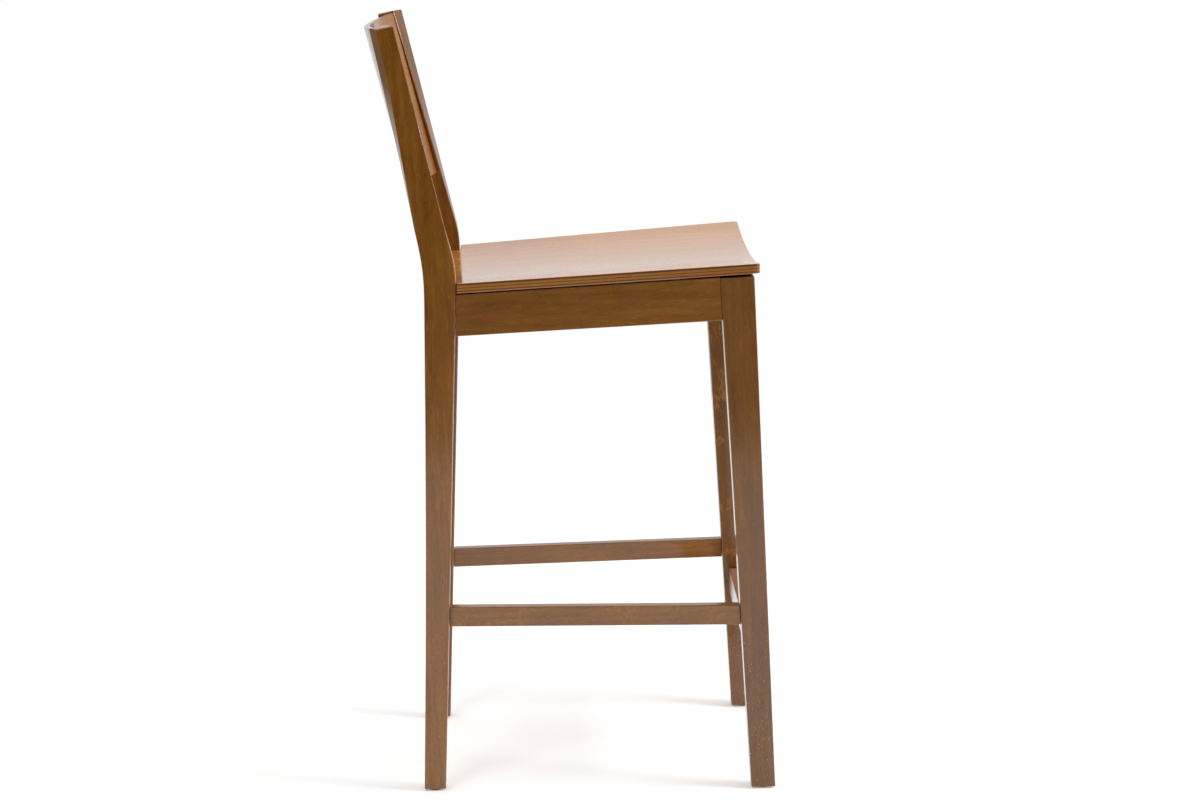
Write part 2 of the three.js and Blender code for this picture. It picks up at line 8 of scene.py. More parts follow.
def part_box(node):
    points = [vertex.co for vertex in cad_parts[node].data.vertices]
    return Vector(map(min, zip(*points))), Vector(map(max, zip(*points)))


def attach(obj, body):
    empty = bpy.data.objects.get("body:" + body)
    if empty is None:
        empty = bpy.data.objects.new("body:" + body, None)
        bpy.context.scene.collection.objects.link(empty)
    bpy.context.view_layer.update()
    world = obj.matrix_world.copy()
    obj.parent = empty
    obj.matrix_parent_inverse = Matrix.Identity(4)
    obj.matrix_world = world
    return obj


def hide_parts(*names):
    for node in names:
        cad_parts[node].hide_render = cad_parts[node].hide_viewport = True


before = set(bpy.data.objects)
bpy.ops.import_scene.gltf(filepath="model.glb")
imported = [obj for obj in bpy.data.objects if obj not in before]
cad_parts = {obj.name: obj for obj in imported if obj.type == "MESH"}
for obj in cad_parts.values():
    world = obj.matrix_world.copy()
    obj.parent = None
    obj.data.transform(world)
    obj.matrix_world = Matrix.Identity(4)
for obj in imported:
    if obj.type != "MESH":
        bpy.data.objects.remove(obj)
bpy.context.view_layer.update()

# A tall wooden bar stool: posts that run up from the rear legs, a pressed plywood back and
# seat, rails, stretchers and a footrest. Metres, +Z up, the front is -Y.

MM = 0.001

# ---------- sizes of the timber, shared with the frame ----------

# Heights: the line under the seat where the legs' tapers change, the leg's foot and its top.
SEAT_LINE = 0.740
LEG_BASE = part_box("rear_leg_left")[0].z
POST_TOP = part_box("rear_leg_left")[1].z
OVERALL_HEIGHT = 1.140
POST_TOP_DROP = 5 * MM

# A bend's start and end heights, and the slope of the edge above it.
BACK_BEND = (0.755, 0.821, 0.1925)
FRONT_BEND = (0.756, 0.812, 0.2739)

# Each line of a leg, as its place at the floor and at SEAT_LINE.
REAR_LEG_OUTER = (0.1954, 0.1928)
POST_TOP_OUTER = 0.1757
REAR_LEG_BACK = (0.2320, 0.2122)
REAR_LEG_HOLLOW = 8 * MM
REAR_LEG_FRONT = (0.2000, 0.1665)
FRONT_LEG_OUTER = (0.2219, 0.2184)
FRONT_LEG_BACK = (-0.2567, -0.2186)
FRONT_LEG_FRONT = (-0.2924, -0.2674)

REAR_LEG_THICK = 28.5 * MM
FRONT_LEG_THICK = 32.6 * MM

# How far the posts' front and back faces turn, and the heights where they start and end.
POST_TURN = 11.5 * MM
POST_TURN_START = 0.800
POST_BACK_TURN = (0.850, 1.070)
POST_BACK_OUTER = 9.5 * MM
POST_BACK_INNER = 2.6 * MM

SEAT_THICK = 14.5 * MM
SEAT_BEND_RADIUS = 1.784
SEAT_DATUM = (0.160, 0.7578)
SEAT_SLOPE = 0.0492
SEAT_FRONT = -0.2742
SEAT_REAR = 0.208
SEAT_OVERHANG = 1 * MM
SEAT_CORNER = 8 * MM
SEAT_CLEARANCE = 1 * MM
SEAT_STRIPS = 36
SEAT_EAR_CUTS = (8 * MM, 17 * MM)

PANEL_THICK = 10 * MM
PANEL_RADIUS = (0.395, 0.470)
PANEL_RAKE = math.radians(13.9)
PANEL_TOP = (0.2865, 1.130)
PANEL_HEIGHT = 0.2575
PANEL_HOUSING = 8 * MM
PANEL_STRIPS = 32

RAIL_THICK = 21 * MM
RAIL_INSET = 0.8 * MM
SIDE_RAIL_REAR_LOW = 0.690
SIDE_RAIL_FRONT_LOW = 0.7096
CROSS_RAIL_STRIPS = 16

# A cross rail's front face and its bottom.
FRONT_RAIL = (-0.261, 0.712)
REAR_RAIL = (0.180, 0.690)

STRETCHER_THICK = 17 * MM
STRETCHER_INSET = 9 * MM
TENON_LENGTH = 14 * MM
TENON_THICK = 9 * MM
TENON_SHOULDER = 5 * MM

# The glue gap, and how far edges are rounded.
HAIR = 0.3 * MM
LEG_ROUNDING = 2 * MM
BAR_ROUNDING = 1.2 * MM
BLOCK_ROUNDING = 0.8 * MM
SEAT_ROUNDING = 1.3 * MM
PANEL_ROUNDING = 1.6 * MM
ROUNDED_ABOVE = math.radians(32)
SMOOTH_BELOW = math.radians(34)


def between(low, high, share):
    return low + (high - low) * share


def rear_outer(z):
    if z <= SEAT_LINE:
        return between(*REAR_LEG_OUTER, z / SEAT_LINE)
    up = (z - SEAT_LINE) / (OVERALL_HEIGHT - SEAT_LINE)
    return between(REAR_LEG_OUTER[1], POST_TOP_OUTER, up)


def front_outer(z):
    return between(*FRONT_LEG_OUTER, z / SEAT_LINE)


def bent(z, start, full, slope):
    """How far an edge has left its lower line: nothing, then a curve, then a straight."""
    if z >= full:
        return slope * (z - (start + full) / 2)
    return slope * max(0, z - start) ** 2 / (2 * (full - start))


def rear_leg_back(z):
    """The back edge: a little hollow below the seat and raked above it."""
    up = min(1, z / SEAT_LINE)
    hollow = REAR_LEG_HOLLOW * up * (1 - up)
    return between(*REAR_LEG_BACK, up) - hollow + bent(z, *BACK_BEND)


def rear_leg_front(z):
    return between(*REAR_LEG_FRONT, z / SEAT_LINE) + bent(z, *FRONT_BEND)


def front_leg_back(z):
    return between(*FRONT_LEG_BACK, z / SEAT_LINE)


def front_leg_front(z):
    return between(*FRONT_LEG_FRONT, z / SEAT_LINE)


def side_line(y, z):
    """Half width over the legs' outer faces at any depth."""
    share = (rear_leg_front(z) - y) / (rear_leg_front(z) - front_leg_back(z))
    return between(rear_outer(z), front_outer(z), share)


def dish(x):
    return SEAT_BEND_RADIUS - math.sqrt(SEAT_BEND_RADIUS ** 2 - x ** 2)


def seat_top(x, y):
    return SEAT_DATUM[1] + SEAT_SLOPE * (SEAT_DATUM[0] - y) + dish(x)


def seat_under(x, y):
    return seat_top(x, y) - SEAT_THICK


# ---------- bench work: starting, picking, shaping and finishing a piece ----------

def put_down():
    if bpy.context.mode != "OBJECT":
        bpy.ops.object.mode_set(mode="OBJECT")
    bpy.ops.object.select_all(action="DESELECT")


def take(piece):
    """Makes one piece the only selected one."""
    put_down()
    piece.select_set(True)
    bpy.context.view_layer.objects.active = piece


def edit(piece):
    take(piece)
    bpy.ops.object.mode_set(mode="EDIT")


def named(name, size=(1, 1, 1)):
    """Names the primitive just added, sizes it and sets its place into its mesh."""
    piece = bpy.context.active_object
    piece.name = name
    piece.data.name = name
    piece.scale = size
    bpy.ops.object.transform_apply(location=True, rotation=True, scale=True)
    return piece


def pick(piece, test):
    """In edit mode, selects the vertices whose place passes the test."""
    bpy.ops.mesh.select_mode(type="VERT")
    bpy.ops.mesh.select_all(action="DESELECT")
    mesh = bmesh.from_edit_mesh(piece.data)
    for vertex in mesh.verts:
        if test(vertex.co):
            vertex.select_set(True)
    mesh.select_flush(True)
    bmesh.update_edit_mesh(piece.data)


def places(piece, measure):
    """In edit mode, the different values of a measure over the vertices, in order."""
    mesh = bmesh.from_edit_mesh(piece.data)
    return sorted({round(measure(vertex.co), 5) for vertex in mesh.verts})


def slice_at(x):
    """In edit mode, cuts the whole piece across at one place along X."""
    pick_all()
    bpy.ops.mesh.bisect(plane_co=(x, 0, 0), plane_no=(1, 0, 0))


def extrude(*move):
    bpy.ops.mesh.extrude_region_move(TRANSFORM_OT_translate={"value": move})


def pick_all():
    bpy.ops.mesh.select_all(action="SELECT")


def near(a, b):
    return abs(a - b) < 0.02 * MM


def face_out():
    pick_all()
    bpy.ops.mesh.normals_make_consistent(inside=False)


def apply(piece, kind, **settings):
    """Adds a modifier, sets it and applies it."""
    take(piece)
    bpy.ops.object.modifier_add(type=kind)
    modifier = piece.modifiers[-1]
    for key, value in settings.items():
        setattr(modifier, key, value)
    bpy.ops.object.modifier_apply(modifier=modifier.name)


def soften(piece, width, segments=3):
    apply(piece, "BEVEL", width=width, segments=segments, limit_method="ANGLE",
          angle_limit=ROUNDED_ABOVE, miter_outer="MITER_ARC")


def smooth(piece):
    take(piece)
    bpy.ops.object.shade_smooth_by_angle(angle=SMOOTH_BELOW)
    apply(piece, "WEIGHTED_NORMAL", keep_sharp=True, weight=80)


def make_room(piece, *nodes):
    """Cuts the hollows that these parts of the frame sit in, a hair larger than they are."""
    put_down()
    for name in nodes:
        tool = bpy.data.objects.new("cutter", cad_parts[name].data.copy())
        bpy.context.scene.collection.objects.link(tool)
        tool.select_set(True)
        bpy.context.view_layer.objects.active = tool
    if len(nodes) > 1:
        bpy.ops.object.join()
    cutter = bpy.context.active_object
    edit(cutter)
    pick_all()
    bpy.ops.mesh.remove_doubles(threshold=0.01 * MM)
    bpy.ops.transform.shrink_fatten(value=0.2 * MM, use_even_offset=True)
    cut(piece, cutter)


def cut(piece, cutter, operation="DIFFERENCE"):
    """Cuts a shape out of a piece, or joins it on, and throws the shape away."""
    apply(piece, "BOOLEAN", operation=operation, solver="EXACT", object=cutter)
    bpy.data.objects.remove(cutter)


def drill(piece, start, end, radius):
    """Cuts a round hole from one point to another."""
    put_down()
    way = Vector(end) - Vector(start)
    bpy.ops.mesh.primitive_cylinder_add(
        vertices=24, radius=radius, depth=way.length,
        location=(Vector(start) + Vector(end)) / 2,
        rotation=way.to_track_quat("Z", "Y").to_euler())
    cut(piece, named("cutter"))


def mirror_copy(piece, name):
    """The same piece for the other side of the stool, with a mesh of its own."""
    take(piece)
    bpy.ops.object.duplicate()
    copy = named(name)
    edit(copy)
    pick_all()
    bpy.ops.transform.resize(value=(-1, 1, 1), center_override=(0, 0, 0))
    face_out()
    take(copy)
    bpy.ops.mesh.customdata_custom_splitnormals_clear()
    smooth(copy)
    return copy


def fit(piece, node, material):
    """Puts the finished piece in the place of its part of the frame."""
    piece.data.materials.clear()
    piece.data.materials.append(material)
    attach(piece, "root")
    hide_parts(node)


# ---------- finishes ----------

def tint(red, green, blue):
    """A colour given in 0 to 255 screen values, as linear light."""
    def linear(value):
        share = value / 255
        return share / 12.92 if share <= 0.04045 else ((share + 0.055) / 1.055) ** 2.4
    return (linear(red), linear(green), linear(blue), 1)


class Finish:
    """A material under construction: each method adds one node and returns its output."""

    def __init__(self, name, world=None):
        self.material = world or bpy.data.materials.new(name)
        self.material.use_nodes = True
        self.tree = self.material.node_tree
        self.tree.nodes.clear()

    def node(self, kind, values, **settings):
        node = self.tree.nodes.new(kind)
        for key, value in settings.items():
            setattr(node, key, value)
        for key, value in values.items():
            if isinstance(value, bpy.types.NodeSocket):
                self.tree.links.new(value, node.inputs[key])
            else:
                node.inputs[key].default_value = value
        return node

    def place(self):
        return self.node("ShaderNodeTexCoord", {}).outputs["Object"]

    def normal(self):
        return self.node("ShaderNodeTexCoord", {}).outputs["Normal"]

    def moved(self, vector, location=(0, 0, 0), rotation=(0, 0, 0), scale=(1, 1, 1)):
        values = {"Vector": vector, "Location": location, "Rotation": rotation, "Scale": scale}
        return self.node("ShaderNodeMapping", values).outputs[0]

    def parts(self, vector):
        return self.node("ShaderNodeSeparateXYZ", {0: vector}).outputs

    def math(self, operation, a, b=0.0):
        return self.node("ShaderNodeMath", {0: a, 1: b}, operation=operation).outputs[0]

    def times(self, first, *others):
        for other in others:
            first = self.math("MULTIPLY", first, other)
        return first

    def noise(self, vector, scale, detail=4.0, roughness=0.5, distortion=0.0):
        values = {"Vector": vector, "Scale": scale, "Detail": detail,
                  "Roughness": roughness, "Distortion": distortion}
        return self.node("ShaderNodeTexNoise", values).outputs[0]

    def spread(self, value, low, high, to_low=0.0, to_high=1.0, smooth=True):
        values = {0: value, 1: low, 2: high, 3: to_low, 4: to_high}
        kind = "SMOOTHSTEP" if smooth else "LINEAR"
        return self.node("ShaderNodeMapRange", values, interpolation_type=kind).outputs[0]

    def ramp(self, value, stops):
        node = self.node("ShaderNodeValToRGB", {0: value})
        while len(node.color_ramp.elements) < len(stops):
            node.color_ramp.elements.new(1.0)
        for element, (position, colour) in zip(node.color_ramp.elements, stops):
            element.position = position
            element.color = colour
        return node.outputs[0]

    def mix(self, factor, a, b, how="MIX"):
        values = {0: factor, 6: a, 7: b}
        return self.node("ShaderNodeMix", values, data_type="RGBA", blend_type=how).outputs[2]

    def bump(self, height, strength, distance):
        values = {"Height": height, "Strength": strength, "Distance": distance}
        return self.node("ShaderNodeBump", values).outputs[0]

    def surface(self, values):
        shader = self.node("ShaderNodeBsdfPrincipled", values)
        self.node("ShaderNodeOutputMaterial", {"Surface": shader.outputs[0]})
        return self.material


GRAIN_TURN = {"x": (0, math.pi / 2, 0), "y": (math.pi / 2, 0, 0), "z": (0, 0, 0)}


def wood_figure(finish, along, shift, tilt):
    """Fibres, streaks, ray flecks, faint rings and stain clouds, for grain that runs one way."""
    turn = Vector(GRAIN_TURN[along]) + Vector((tilt, tilt * 0.6, 0))
    place = finish.moved(finish.place(), location=shift, rotation=turn)

    def drawn_out(reach, scale, detail, roughness, location=(0, 0, 0)):
        """Noise that is stretched along the grain; a small reach stretches it most."""
        stretched = finish.moved(place, scale=(1, 1, reach), location=location)
        return finish.noise(stretched, scale, detail, roughness)

    rings = finish.node("ShaderNodeTexWave", {
        "Vector": finish.moved(place, scale=(1, 1, 0.08)), "Scale": 24.0, "Distortion": 7.0,
        "Detail": 3.0, "Detail Scale": 1.6, "Detail Roughness": 0.6,
    }, wave_type="RINGS", rings_direction="Z").outputs["Fac"]
    return {
        "rings": rings,
        "fibres": drawn_out(0.03, 900.0, 4.0, 0.6),
        "streaks": drawn_out(0.04, 150.0, 4.0, 0.6),
        "flecks": finish.spread(drawn_out(0.16, 900.0, 2.0, 0.5), 0.56, 0.68),
        "glints": finish.spread(drawn_out(0.10, 420.0, 3.0, 0.6, (3, 1, 2)), 0.60, 0.72),
        "cloud": drawn_out(0.30, 26.0, 4.0, 0.6),
        "drift": drawn_out(0.25, 5.0, 2.0, 0.5),
    }


def weighted(finish, parts):
    """The sum of several patterns, each times its share."""
    total = 0.0
    for value, share in parts:
        total = finish.math("ADD", finish.times(value, share), total)
    return total


def edge_mask(finish):
    """1 on the rounded edges of square timber and 0 on its flat faces."""
    along = finish.parts(finish.normal())
    size = [finish.math("ABSOLUTE", along[axis]) for axis in range(3)]
    largest = finish.math("MAXIMUM", finish.math("MAXIMUM", size[0], size[1]), size[2])
    return finish.spread(finish.math("SUBTRACT", 1.0, largest), 0.035, 0.16)


def shaded(finish, colour, drift, dark, light):
    """The colour made darker and lighter in slow clouds."""
    share = finish.spread(drift, 0.3, 0.7, dark, light, smooth=False)
    grey = finish.node("ShaderNodeCombineXYZ", {0: share, 1: share, 2: share}).outputs[0]
    return finish.mix(1.0, colour, grey, "MULTIPLY")


DARK_STAIN = tint(104, 60, 8)
MID_STAIN = tint(127, 78, 13)
LIGHT_STAIN = tint(148, 96, 22)
FLECK_STAIN = tint(88, 46, 6)
GOLDEN_FLECK = tint(178, 122, 34)
# Lighter colour for rounded edges: partly rubbed wear, partly a painted highlight.
EDGE_WEAR_AND_HIGHLIGHT = tint(178, 114, 52)
BARE_CHIP = tint(226, 206, 178)


STAIN = [(0.34, DARK_STAIN), (0.50, MID_STAIN), (0.68, LIGHT_STAIN)]
LACQUER = {"IOR": 1.45, "Coat IOR": 1.5}
# How strongly the rounded edges take that colour of wear and painted highlight.
EDGE_WEAR_AND_HIGHLIGHT_SHARE = 0.35
CHIPPED_BELOW = 0.42
CHIPPED_FULLY = 0.05


def curl_figure(finish):
    """Thin golden lines that curl across the grain, in patches."""
    waves = finish.noise(finish.moved(finish.place(), scale=(1, 1, 0.6)), 75.0, 1.5, 0.5, 0.6)
    line = finish.math("ABSOLUTE", finish.math("SUBTRACT", waves, 0.5))
    line = finish.spread(line, 0.060, 0.010)
    here = finish.spread(finish.noise(finish.place(), 22.0, 2.0, 0.5), 0.50, 0.66)
    return finish.times(line, here)


def stained_beech(name, along="z", shift=(0, 0, 0), tone=1.0, chips=0.0, curls=0.0):
    """Beech under a golden brown stain and gloss lacquer, with its rounded edges painted lighter:
    partly rubbed wear, partly a painted highlight.
    """
    finish = Finish(name)
    figure = wood_figure(finish, along, shift, 0.03)
    grain = weighted(finish, [(figure["rings"], 0.06), (figure["streaks"], 0.30),
                              (figure["fibres"], 0.28), (figure["cloud"], 0.36)])
    colour = finish.ramp(grain, STAIN)
    colour = finish.mix(finish.times(figure["flecks"], 0.45), colour, FLECK_STAIN)
    colour = finish.mix(finish.times(figure["glints"], 0.40), colour, GOLDEN_FLECK)
    colour = shaded(finish, colour, figure["drift"], 0.88 * tone, 1.10 * tone)
    if curls:
        colour = finish.mix(finish.times(curl_figure(finish), curls), colour, GOLDEN_FLECK)
    # The rounded edges are painted lighter in patches: partly rubbed wear, partly a painted highlight
    # along them.
    patchy = finish.spread(finish.noise(finish.place(), 85.0, 3.0, 0.6), 0.42, 0.62)
    rub_and_highlight = finish.times(edge_mask(finish), patchy, EDGE_WEAR_AND_HIGHLIGHT_SHARE)
    colour = finish.mix(rub_and_highlight, colour, EDGE_WEAR_AND_HIGHLIGHT)
    if chips:
        height = finish.parts(finish.place())[2]
        low = finish.spread(height, CHIPPED_BELOW, CHIPPED_FULLY)
        spots = finish.spread(finish.noise(finish.place(), 640.0, 1.0, 0.4), 0.730, 0.745)
        colour = finish.mix(finish.times(spots, low, chips), colour, BARE_CHIP)
    gloss = finish.spread(figure["cloud"], 0.3, 0.7, 0.26, 0.38, smooth=False)
    relief = weighted(finish, [(figure["fibres"], 1.0), (figure["flecks"], -0.5)])
    return finish.surface({
        **LACQUER, "Base Color": colour,
        "Roughness": finish.math("ADD", gloss, finish.times(rub_and_highlight, 0.25)),
        "Coat Weight": 0.7, "Coat Roughness": 0.10,
        "Normal": finish.bump(relief, 0.18, 0.10 * MM),
    })


WORN_DARK = tint(126, 78, 52)
WORN_LIGHT = tint(168, 116, 84)


def worn_beech(name, along, shift):
    """The footrest: shoes have taken the gloss off its top and left pale rubs and specks."""
    finish = Finish(name)
    figure = wood_figure(finish, along, shift, 0.02)
    grain = weighted(finish, [(figure["streaks"], 0.4), (figure["fibres"], 0.3),
                              (figure["cloud"], 0.3)])
    up = finish.spread(finish.parts(finish.normal())[2], 0.25, 0.75)
    bare = finish.ramp(grain, [(0.36, WORN_DARK), (0.62, WORN_LIGHT)])
    colour = finish.mix(up, finish.ramp(grain, STAIN), bare)
    specks = finish.spread(finish.noise(finish.place(), 520.0, 2.0, 0.5), 0.66, 0.70)
    drawn = finish.moved(finish.place(), scale=(0.25, 1, 1))
    scuffs = finish.spread(finish.noise(drawn, 190.0, 3.0, 0.6), 0.60, 0.70)
    marks = finish.math("MAXIMUM", specks, finish.times(scuffs, 0.5))
    colour = finish.mix(finish.times(marks, up), colour, BARE_CHIP)
    # The rounded edges are painted lighter: partly rubbed wear, partly a painted highlight along them.
    colour = finish.mix(finish.times(edge_mask(finish), 0.6), colour, EDGE_WEAR_AND_HIGHLIGHT)
    relief = weighted(finish, [(figure["fibres"], 1.0), (marks, -0.8)])
    return finish.surface({
        **LACQUER, "Base Color": colour,
        "Roughness": finish.math("ADD", finish.times(up, 0.36), 0.30),
        "Coat Weight": finish.math("SUBTRACT", 0.7, finish.times(up, 0.66)),
        "Coat Roughness": 0.12,
        "Normal": finish.bump(relief, 0.25, 0.12 * MM),
    })


VENEER_DARK = tint(184, 112, 40)
VENEER_MID = tint(203, 128, 48)
VENEER_LIGHT = tint(216, 142, 58)
FACE_LAYER = tint(84, 42, 20)
LAYER_LONG = tint(166, 108, 34)
LAYER_END = tint(138, 82, 26)
GLUE_LINE = tint(84, 44, 12)


def stained_plywood(name, along, shift, depth_of, edge_of, stops, tone=1.0):
    """Pressed plywood: a stained veneer on its faces and its layers on its edges."""
    finish = Finish(name)
    figure = wood_figure(finish, along, shift, 0.02)
    grain = weighted(finish, [(figure["rings"], 0.05), (figure["streaks"], 0.32),
                              (figure["fibres"], 0.28), (figure["cloud"], 0.35)])
    veneer = finish.ramp(grain, [(0.34, VENEER_DARK), (0.50, VENEER_MID), (0.66, VENEER_LIGHT)])
    veneer = finish.mix(finish.times(figure["flecks"], 0.20), veneer, VENEER_DARK)
    wander = finish.math("SUBTRACT", finish.noise(finish.place(), 22.0, 2.0), 0.5)
    depth = weighted(finish, [(depth_of(finish), 1.0), (wander, 0.05)])
    edge = finish.ramp(depth, stops)
    speckle = finish.noise(finish.place(), 1400.0, 2.0, 0.6)
    edge = finish.mix(finish.spread(speckle, 0.45, 0.7, 0.0, 0.5), edge, LAYER_END)
    on_edge = finish.spread(edge_of(finish), 0.45, 0.62)
    colour = finish.mix(on_edge, veneer, edge)
    colour = shaded(finish, colour, figure["drift"], 0.90 * tone, 1.06 * tone)
    gloss = finish.spread(figure["cloud"], 0.3, 0.7, 0.24, 0.32, smooth=False)
    return finish.surface({
        **LACQUER, "Base Color": colour,
        "Roughness": finish.math("ADD", gloss, finish.times(on_edge, 0.15)),
        "Coat Weight": 1.0, "Coat Roughness": 0.08,
        "Normal": finish.bump(figure["fibres"], 0.05, 0.04 * MM),
    })


def seat_depth(finish):
    """0 at the seat's top face and 1 at its underside, through the dish and the slope."""
    x, y, z = finish.parts(finish.place())
    curve = finish.math("DIVIDE", finish.times(x, x), 2 * SEAT_BEND_RADIUS)
    slope = finish.times(finish.math("SUBTRACT", SEAT_DATUM[0], y), SEAT_SLOPE)
    top = finish.math("ADD", finish.math("ADD", curve, slope), SEAT_DATUM[1])
    return finish.math("DIVIDE", finish.math("SUBTRACT", top, z), SEAT_THICK)


def seat_edge(finish):
    """0 on the seat's faces and 1 on its edges."""
    up = finish.math("ABSOLUTE", finish.parts(finish.normal())[2])
    return finish.math("SUBTRACT", 1.0, up)


def panel_depth(finish):
    """0 at the panel's front face and 1 at its back, measured out from the centre of its curve."""
    place = finish.moved(finish.place(), location=(0, -PANEL_TOP[0], -PANEL_TOP[1]))
    square = finish.moved(place, rotation=(PANEL_RAKE, 0, 0))
    x, y, z = finish.parts(square)
    down = finish.math("DIVIDE", z, -PANEL_HEIGHT)
    opening = finish.times(down, PANEL_RADIUS[1] - PANEL_RADIUS[0])
    radius = finish.math("ADD", opening, PANEL_RADIUS[0])
    out = finish.math("ADD", y, radius)
    reach = finish.math("SQRT", finish.math("ADD", finish.times(x, x), finish.times(out, out)))
    return finish.math("DIVIDE", finish.math("SUBTRACT", reach, radius), PANEL_THICK)


def panel_edge(finish):
    """0 on the panel's faces and ends and 1 on its top and bottom edges."""
    up = (0, math.sin(PANEL_RAKE), math.cos(PANEL_RAKE))
    turned = finish.node("ShaderNodeVectorMath", {0: finish.normal(), 1: up}, operation="DOT_PRODUCT")
    return finish.math("ABSOLUTE", turned.outputs["Value"])


# The layers through a board's thickness, from its top or front face to the other one.
SEAT_LAYERS = [(0.00, FACE_LAYER), (0.17, FACE_LAYER), (0.23, LAYER_END), (0.30, LAYER_LONG),
               (0.44, LAYER_LONG), (0.48, GLUE_LINE), (0.51, GLUE_LINE), (0.55, LAYER_LONG),
               (0.74, LAYER_LONG), (0.78, GLUE_LINE), (0.81, GLUE_LINE), (0.85, LAYER_END),
               (1.00, LAYER_END)]
BACK_LAYERS = [(0.00, FACE_LAYER), (0.10, LAYER_LONG), (0.28, LAYER_LONG), (0.31, LAYER_END),
               (0.48, LAYER_END), (0.51, LAYER_LONG), (0.68, LAYER_LONG), (0.71, LAYER_END),
               (0.90, LAYER_END), (1.00, FACE_LAYER)]


def sawn_beech(name, low, high):
    """Plain beech with no lacquer, for the blocks and dowels inside."""
    finish = Finish(name)
    figure = wood_figure(finish, "x", (0.4, 0.2, 0.1), 0.05)
    grain = weighted(finish, [(figure["streaks"], 0.6), (figure["fibres"], 0.4)])
    colour = finish.ramp(grain, [(0.3, low), (0.7, high)])
    colour = finish.mix(finish.times(figure["flecks"], 0.4), colour, low)
    return finish.surface({
        "Base Color": colour, "Roughness": finish.spread(figure["fibres"], 0.3, 0.7, 0.55, 0.75),
        "Normal": finish.bump(figure["fibres"], 0.35, 0.15 * MM),
    })


def zinc_steel():
    finish = Finish("zinc_plated_steel")
    cloud = finish.noise(finish.place(), 900.0, 4.0, 0.6)
    colour = finish.ramp(cloud, [(0.3, tint(150, 146, 132)), (0.7, tint(206, 202, 188))])
    return finish.surface({
        "Base Color": colour, "Metallic": 1.0,
        "Roughness": finish.spread(cloud, 0.3, 0.7, 0.22, 0.45),
        "Normal": finish.bump(finish.noise(finish.place(), 3000.0, 2.0), 0.1, 0.05 * MM),
    })


def black_plastic():
    finish = Finish("moulded_black_plastic")
    pebble = finish.noise(finish.place(), 1800.0, 3.0, 0.6)
    colour = finish.ramp(pebble, [(0.3, tint(26, 24, 23)), (0.7, tint(44, 41, 39))])
    return finish.surface({
        "Base Color": colour, "Roughness": finish.spread(pebble, 0.3, 0.7, 0.4, 0.62),
        "Normal": finish.bump(pebble, 0.25, 0.08 * MM),
    })


# ---------- legs ----------

def draw_leg(name, levels):
    """A leg drawn up level by level; a level is its height, inner, outer, front and back."""
    def centre(level):
        return Vector(((level[1] + level[2]) / 2, (level[3] + level[4]) / 2, level[0]))

    def width(level):
        return level[2] - level[1]

    def depth(level):
        return level[4] - level[3]

    put_down()
    foot, *upper = levels
    bpy.ops.mesh.primitive_plane_add(size=1, location=centre(foot))
    leg = named(name)
    edit(leg)
    pick_all()
    bpy.ops.transform.resize(value=(width(foot), depth(foot), 1), center_override=centre(foot))
    below = foot
    for level in upper:
        rise = centre(level) - centre(below)
        extrude(*rise)
        bpy.ops.transform.resize(value=(width(level) / width(below), depth(level) / depth(below), 1),
                                 center_override=centre(level))
        below = level
    face_out()
    return leg


def draw_corner(leg, corner, move):
    """Moves one corner of a leg's section forward or back."""
    if move:
        pick(leg, lambda at: (at - Vector(corner)).length < 0.05 * MM)
        bpy.ops.transform.translate(value=(0, move, 0))


REAR_LEG_LEVELS = [LEG_BASE, 0.190, 0.370, 0.550, SEAT_LINE, 0.755, 0.763, 0.771, 0.780, 0.788,
                   0.796, 0.804, 0.812, 0.821, POST_BACK_TURN[0], 0.940, 1.020, POST_BACK_TURN[1],
                   POST_TOP]


def rear_leg():
    levels = [(z, rear_outer(z) - REAR_LEG_THICK, rear_outer(z),
               rear_leg_front(z), rear_leg_back(z)) for z in REAR_LEG_LEVELS]
    leg = draw_leg("rear_leg_left_wood", levels)
    pick(leg, lambda at: near(at.z, POST_TOP) and near(at.y, levels[-1][4]))
    bpy.ops.transform.translate(value=(0, 0, -POST_TOP_DROP))
    for z, inner, outer, front, back in levels:
        turn = max(0, (z - POST_TURN_START) / (POST_TOP - POST_TURN_START))
        swing = min(1, max(0, (z - POST_BACK_TURN[0]) / (POST_BACK_TURN[1] - POST_BACK_TURN[0])))
        back_z = z - (POST_TOP_DROP if z == POST_TOP else 0)
        draw_corner(leg, (inner, front, z), POST_TURN * turn)
        draw_corner(leg, (outer, back, back_z), -POST_BACK_OUTER * swing)
        draw_corner(leg, (inner, back, back_z), POST_BACK_INNER * swing)
    soften(leg, LEG_ROUNDING)
    make_room(leg, "back_panel", "side_stretcher_left", "rear_stretcher", "glide_rear_left",
              "dowel_side_rail_rear_low_left", "dowel_side_rail_rear_high_left",
              "dowel_rear_rail_low_left", "dowel_rear_rail_high_left")
    smooth(leg)
    return leg


def front_leg():
    inner = front_outer(SEAT_LINE) - FRONT_LEG_THICK
    top_front = seat_under(inner, front_leg_front(SEAT_LINE)) - HAIR
    top_back = seat_under(inner, front_leg_back(SEAT_LINE)) - HAIR
    heights = [LEG_BASE, SEAT_LINE / 2, top_front]
    levels = [(z, front_outer(z) - FRONT_LEG_THICK, front_outer(z),
               front_leg_front(z), front_leg_back(z)) for z in heights]
    leg = draw_leg("front_leg_left_wood", levels)
    pick(leg, lambda at: near(at.z, top_front) and near(at.y, levels[-1][4]))
    bpy.ops.transform.translate(value=(0, 0, top_back - top_front))
    soften(leg, LEG_ROUNDING)
    make_room(leg, "side_stretcher_left", "footrest", "glide_front_left",
              "dowel_side_rail_front_low_left", "dowel_side_rail_front_high_left",
              "dowel_front_rail_low_left", "dowel_front_rail_high_left")
    smooth(leg)
    return leg


# ---------- rails, stretchers and footrest ----------

SIDES = [(i, j, k) for i in (0, 1) for j in (0, 1) for k in (0, 1)]


